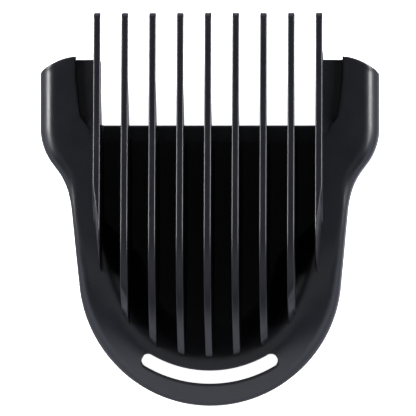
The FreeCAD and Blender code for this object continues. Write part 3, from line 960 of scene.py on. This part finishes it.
@dataclass
class Teeth:
    """Nine fins, each two sheets over one side drawing, closed along their rounded edges."""

    recess: Recess
    plate: PlateLine
    count: int = 9
    pitch: float = 5.0
    half: float = 0.65
    rear_half: float = 0.2
    rear_draft: float = math.tan(math.radians(2.3))
    deck_top_y: float = 27.2
    edge_radius: float = 0.24
    draft: float = 0.006
    root_flare: float = 0.12
    tip_y: float = 35.55
    nose: float = 1.3
    crest_radius: float = 25.0
    crest: tuple[float, float] = (-5.93, 1.0)
    free_slope: float = 7.0
    toe_slope: float = 44.0
    toe: tuple[float, float] = (-28.3, 14.15)
    sink: float = 0.25
    cover_level: float = 15.2
    toe_length: float = 0.8
    tuck: float = 0.1
    nose_reach: float = 3.0
    free_before_edge: float = 3.5
    free_past_deck: float = 0.4
    free_blend: float = 2.5

    @property
    def nose_centre(self) -> tuple[float, float]:
        """Centre of the tip's round, which the straight line off the crest touches."""
        lean = math.radians(self.free_slope)
        y = self.tip_y - self.nose
        crest_y, crest_z = (self.crest[0] + self.crest_radius * math.sin(lean),
                            self.crest[1] + self.crest_radius * math.cos(lean))
        run = (y + self.nose * math.sin(lean) - crest_y) / math.cos(lean)
        return y, crest_z - run * math.sin(lean) - self.nose * math.cos(lean)

    def front_line(self) -> np.ndarray:
        """The outer edge from the nose's point over the crest to the toe, as (n, 2) of y, z."""
        nose = arc(self.nose_centre, self.nose, 3.0, 90.0 - self.free_slope, 24)
        crest = arc(self.crest, self.crest_radius, 90.0 - self.free_slope,
                    90.0 + self.toe_slope, 90)
        straight = np.linspace(nose[-1], crest[0], 120)[1:]
        slope = np.linspace(crest[-1], self.toe, 60)[1:]
        return np.concatenate([nose, straight, crest[1:], slope])

    def rear_line(self) -> np.ndarray:
        """The inner edge from the nose's point to the plate's edge and along the plate."""
        centre = self.nose_centre
        gap_y, gap_z = (centre[k] - self.plate.edge[k] for k in (0, 1))
        gap = math.hypot(gap_y, gap_z)
        back = math.degrees(math.atan2(gap_z, gap_y) - math.asin(self.nose / gap))
        nose = arc(centre, self.nose, -3.0, back - 90.0, 24)
        edge = (self.plate.edge[0], self.plate.edge[1] - self.sink)
        straight = np.linspace(nose[-1], edge, 90)[1:]
        y = np.linspace(self.plate.edge[0], -33.0, 240)[1:]
        floor = np.stack([y, self.plate.height(y) - self.sink], 1)
        return np.concatenate([nose, straight, floor])

    def trimmed(self, line: np.ndarray, x: float) -> np.ndarray:
        """The part of a line in front of the recess's leaning end at x."""
        past = line[:, 0] - self.recess.end_y(x, line[:, 1])
        beyond = np.nonzero(past < 0.0)[0]
        if len(beyond) == 0:
            return line
        k = beyond[0]
        share = past[k - 1] / (past[k - 1] - past[k])
        end = line[k - 1] + (line[k] - line[k - 1]) * share
        return np.concatenate([line[:k], end[None]])

    def rounded_toe(self, line: np.ndarray) -> np.ndarray:
        """A front line that rounds down to the cover's level where the recess cuts it.

        The drop is a quarter ellipse as deep as the line stands above the cover at its end,
        and as long as toe_length times that depth.
        """
        step = max(line[-1, 1] - self.cover_level, 0.2)
        made = line.copy()
        made[:, 1] -= quarter_drop(line[:, 0] - line[-1, 0], self.toe_length * step, step)
        return made

    def sheet(self, x: float) -> tuple[np.ndarray, np.ndarray, np.ndarray]:
        """One side of a fin.

        Args:
            x: the plane of the side.

        Returns:
            Grid of (y, z), distance of each from the free edges, and from the root.
        """
        tucked = math.copysign(self.tuck, x) if abs(x) > self.recess.half - 0.3 else 0.0
        front = self.rounded_toe(self.trimmed(self.front_line(), x - tucked))
        rear = self.trimmed(self.rear_line(), x - tucked)
        length = np.hypot(*np.diff(front, axis=0).T).sum()
        along = np.concatenate([np.linspace(0.0, self.nose_reach, 30)[:-1],
                                np.linspace(self.nose_reach, length - 1.0, 130),
                                length - TOE_STEPS[::-1]])
        upper, lower = resample(front, along / length), resample(rear, along / length)
        gap = np.hypot(*(lower - upper).T)
        near = FIN_STEPS[:, None] * np.minimum(1.0, gap / 1.1)
        inside = np.linspace(0.0, 1.0, 10)[1:-1, None]
        middle = near[-1:] + inside * (gap - 2.0 * near[-1:])
        away = np.concatenate([near, middle, gap - near[::-1]])
        grid = upper + (lower - upper) * (away / gap)[..., None]
        free_rear = lower[lower[:, 0] >= self.plate.edge[0]]
        end_line = np.stack([upper[-1], lower[-1]])
        to_free = np.minimum(nearest(grid, np.concatenate([free_rear[::-1], upper])),
                             nearest(grid, end_line))
        to_root = nearest(grid, rear[rear[:, 0] < self.plate.edge[0] + 0.01] + [0.0, self.sink])
        return grid, to_free, to_root

    def side_face(self, centre: float, side: Side) -> np.ndarray:
        """One side of the fin at an x, as a grid of x, y and z.

        Half thickness is the full half minus the rounded edge's fall, narrower towards the
        rear of the free part, and wider by draft and root flare where the fin is rooted.
        """
        grid, to_free, to_root = self.sheet(centre + side.value * self.half)
        y = grid[..., 0]
        outer = abs(centre) > self.recess.half - 1.0
        free_from = self.plate.edge[0] - self.free_before_edge
        if outer and side.value * centre > 0.0:
            free_from = self.deck_top_y + self.free_past_deck
        free = ease((y - free_from) / self.free_blend)
        behind = np.hypot(y - grid[:1, :, 0], grid[..., 1] - grid[:1, :, 1])
        narrow = np.minimum(self.rear_draft * behind, self.half - self.rear_half)
        flare = self.draft * to_free + self.root_flare * np.exp(-to_root / 0.3)
        half = self.half - narrow * free + (1.0 - free) * flare
        rounding = np.minimum(self.edge_radius, 0.8 * half)
        half = half - quarter_drop(to_free, rounding, rounding)
        if outer:
            half = np.minimum(half, self.half)
        return np.stack([centre + side.value * half, y, grid[..., 1]], -1)

    def build(self, finish: bpy.types.Material) -> None:
        """Make the nine teeth."""
        for number in range(self.count):
            centre = (number - (self.count - 1) / 2) * self.pitch
            solid = slab_of_grids(*(self.side_face(centre, side) for side in Side))
            make_piece("tooth_%d" % (number + 1), "fin", solid, finish, 50.0)


# ---- Fittings inside the cover ------------------------------------------------------------

@dataclass
class Fittings:
    """The guide rails inside the wings and the snap lug inside the chin."""

    outline: Outline
    wall: float = 1.8
    rail_depth: float = 1.3
    rail_height: float = 2.0
    rail_level: float = 4.5
    rail_low_y: float = 15.67
    rail_high_y: float = 24.2
    lug_depth: float = 1.0
    lug_height: float = 1.8
    lug_level: float = 1.4
    lug_half: float = 6.0
    sunk: float = 0.1

    def build(self, finish: bpy.types.Material) -> None:
        """Make both rails and the lug."""
        for side in Side:
            self.build_rail(side, finish)
        self.build_lug(finish)

    def build_rail(self, side: Side, finish: bpy.types.Material) -> None:
        """A rail: a rounded bar along Y whose ends taper as a lead-in."""
        count = 40
        x = self.outline.half_width - self.wall - self.rail_depth / 2 + self.sunk
        y = np.linspace(self.rail_low_y, self.rail_high_y, count)
        z = self.rail_level + self.rail_height / 2
        centres = np.stack([np.full(count, x * side.value), y, np.full(count, z)], 1)
        across = np.tile([1.0, 0.0, 0.0], (count, 1))
        bar = swept_bar(centres, across, self.rail_depth / 2 + self.sunk, self.rail_height / 2,
                        rounding=0.35, end_share=0.45)
        make_piece(side.word + "_guide_rail", "bar", bar, finish)

    def build_lug(self, finish: bpy.types.Material) -> None:
        """The lug: a rounded bar round the inside of the chin."""
        count = 48
        radius = self.outline.chin - self.wall - self.lug_depth / 2 + self.sunk
        reach = math.asin(self.lug_half / radius)
        angle = np.linspace(-reach, reach, count)
        out = np.stack([np.sin(angle), -np.cos(angle), np.zeros(count)], 1)
        middle = (0.0, self.outline.chin_centre[1], self.lug_level + self.lug_height / 2)
        bar = swept_bar(np.array(middle) + radius * out, out, self.lug_depth / 2 + self.sunk,
                        self.lug_height / 2, rounding=0.4, end_share=0.4)
        make_piece("snap_lug", "ridge", bar, finish)


# ---- Studio -------------------------------------------------------------------------------

@dataclass(frozen=True)
class Lamp:
    """A rectangular soft light that faces the comb."""

    name: str
    place: tuple[float, float, float]
    size: tuple[float, float]
    power: float

    def hang(self) -> None:
        """Put the light in the scene, facing the comb's middle."""
        data = bpy.data.lights.new(self.name, "AREA")
        data.shape = "RECTANGLE"
        data.size, data.size_y = self.size
        data.energy = self.power
        lamp = bpy.data.objects.new(self.name, data)
        lamp.location = self.place
        target = Vector((0.0, 0.0, 0.01)) - Vector(self.place)
        lamp.rotation_mode = "QUATERNION"
        lamp.rotation_quaternion = target.to_track_quat("-Z", "Y")
        bpy.context.scene.collection.objects.link(lamp)


@dataclass
class Studio:
    """Pale floor, soft lights and an overhead camera that leans a little to the right."""

    lean: float = math.radians(1.9)
    distance: float = 1.6
    view_width: float = 0.07536
    focus: tuple[float, float, float] = (-0.00031, 0.00037, 0.0117)
    room: tuple[tuple[float, float], ...] = ((-0.3, 0.55), (0.06, 1.35), (0.44, 0.07))
    room_tint: tuple[float, float, float, float] = (0.9, 0.92, 1.06, 1.0)
    sensor: float = 36.0
    lamps: tuple[Lamp, ...] = (
        Lamp("left_strip", (-0.45, 0.17, 0.29), (0.36, 0.2), 5.8),
        Lamp("right_strip", (0.45, 0.17, 0.29), (0.36, 0.2), 5.0),
        Lamp("chin_panel", (0.0, -0.6, 0.24), (0.9, 0.2), 0.45),
        Lamp("chin_top", (0.0, -0.38, 0.85), (0.9, 0.6), 0.7),
    )

    def build(self) -> None:
        """Make the floor, lights, surroundings and camera."""
        self.lay_floor()
        for lamp in self.lamps:
            lamp.hang()
        self.surround()
        bpy.context.scene.view_settings.view_transform = "Standard"
        self.set_camera()

    def surround(self) -> None:
        """A room that is white near the horizon and dim above and below it.

        The brightness follows the height of the direction of view, eased between the levels
        that room lists as pairs of height and brightness.
        """
        world = bpy.data.worlds.new("room")
        world.use_nodes = True
        tree = world.node_tree
        background = tree.nodes["Background"]
        place = tree.nodes.new("ShaderNodeTexCoord")
        split = tree.nodes.new("ShaderNodeSeparateXYZ")
        height = tree.nodes.new("ShaderNodeMapRange")
        set_inputs(height, {"From Min": -1.0})
        grade = tree.nodes.new("ShaderNodeValToRGB")
        grade.color_ramp.interpolation = "EASE"
        while len(grade.color_ramp.elements) < len(self.room):
            grade.color_ramp.elements.new(1.0)
        for stop, (level, light) in zip(grade.color_ramp.elements, self.room):
            stop.position = 0.5 + 0.5 * level
            stop.color = (light, light, light, 1.0)
        set_inputs(background, {"Color": self.room_tint})
        tree.links.new(place.outputs["Generated"], split.inputs["Vector"])
        tree.links.new(split.outputs["Z"], height.inputs["Value"])
        tree.links.new(height.outputs["Result"], grade.inputs["Fac"])
        tree.links.new(grade.outputs["Color"], background.inputs["Strength"])
        bpy.context.scene.world = world

    def lay_floor(self) -> None:
        """A large white sheet under the comb, lit evenly from below.

        The comb's plastic mirrors the room in its place, so that its edges stay dark.
        """
        mesh = bpy.data.meshes.new("floor")
        reach, level = 1.5, -0.00006
        corners = [(x * reach, y * reach, level) for x, y in ((-1, -1), (1, -1), (1, 1), (-1, 1))]
        mesh.from_pydata(corners, [], [(0, 1, 2, 3)])
        paper = bpy.data.materials.new("white_paper")
        paper.use_nodes = True
        shader = paper.node_tree.nodes["Principled BSDF"]
        set_inputs(shader, {"Base Color": (0.92, 0.92, 0.92, 1.0), "Roughness": 0.9,
                            "Emission Color": (1.0, 1.0, 1.0, 1.0), "Emission Strength": 1.0})
        mesh.materials.append(paper)
        floor = bpy.data.objects.new("floor", mesh)
        bpy.context.scene.collection.objects.link(floor)
        floor.visible_glossy = False

    def set_camera(self) -> None:
        """The camera: far off with a long lens, so that the view is nearly parallel."""
        data = bpy.data.cameras.new("camera")
        data.sensor_width = self.sensor
        data.lens = self.sensor * self.distance / self.view_width
        data.clip_start, data.clip_end = 0.05, 20.0
        camera = bpy.data.objects.new("camera", data)
        camera.location = (self.focus[0] + self.distance * math.sin(self.lean), self.focus[1],
                           self.focus[2] + self.distance * math.cos(self.lean))
        camera.rotation_euler = (0.0, self.lean, 0.0)
        bpy.context.scene.collection.objects.link(camera)
        bpy.context.scene.camera = camera


def main() -> None:
    """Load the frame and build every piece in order."""
    logging.basicConfig(level=logging.INFO, format="%(name)s: %(message)s")
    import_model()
    cover_finish = SatinPlastic("cover_black_satin").material()
    tooth_finish = SatinPlastic("tooth_black_satin", rough_low=0.27, rough_high=0.34).material()
    inner_finish = SatinPlastic("inner_black_satin", rough_low=0.45, rough_high=0.55).material()
    outline, recess, plate = Outline(), Recess(), PlateLine()
    cover = Cover(outline, recess, plate, SmileSlot())
    cover.build(cover_finish, inner_finish)
    Decks(cover).build(cover_finish, inner_finish)
    CombPlate(cover, plate).build(inner_finish)
    Teeth(recess, plate).build(tooth_finish)
    Fittings(outline).build(inner_finish)
    Studio().build()
    bpy.context.view_layer.update()


if __name__ == "__main__":
    main()
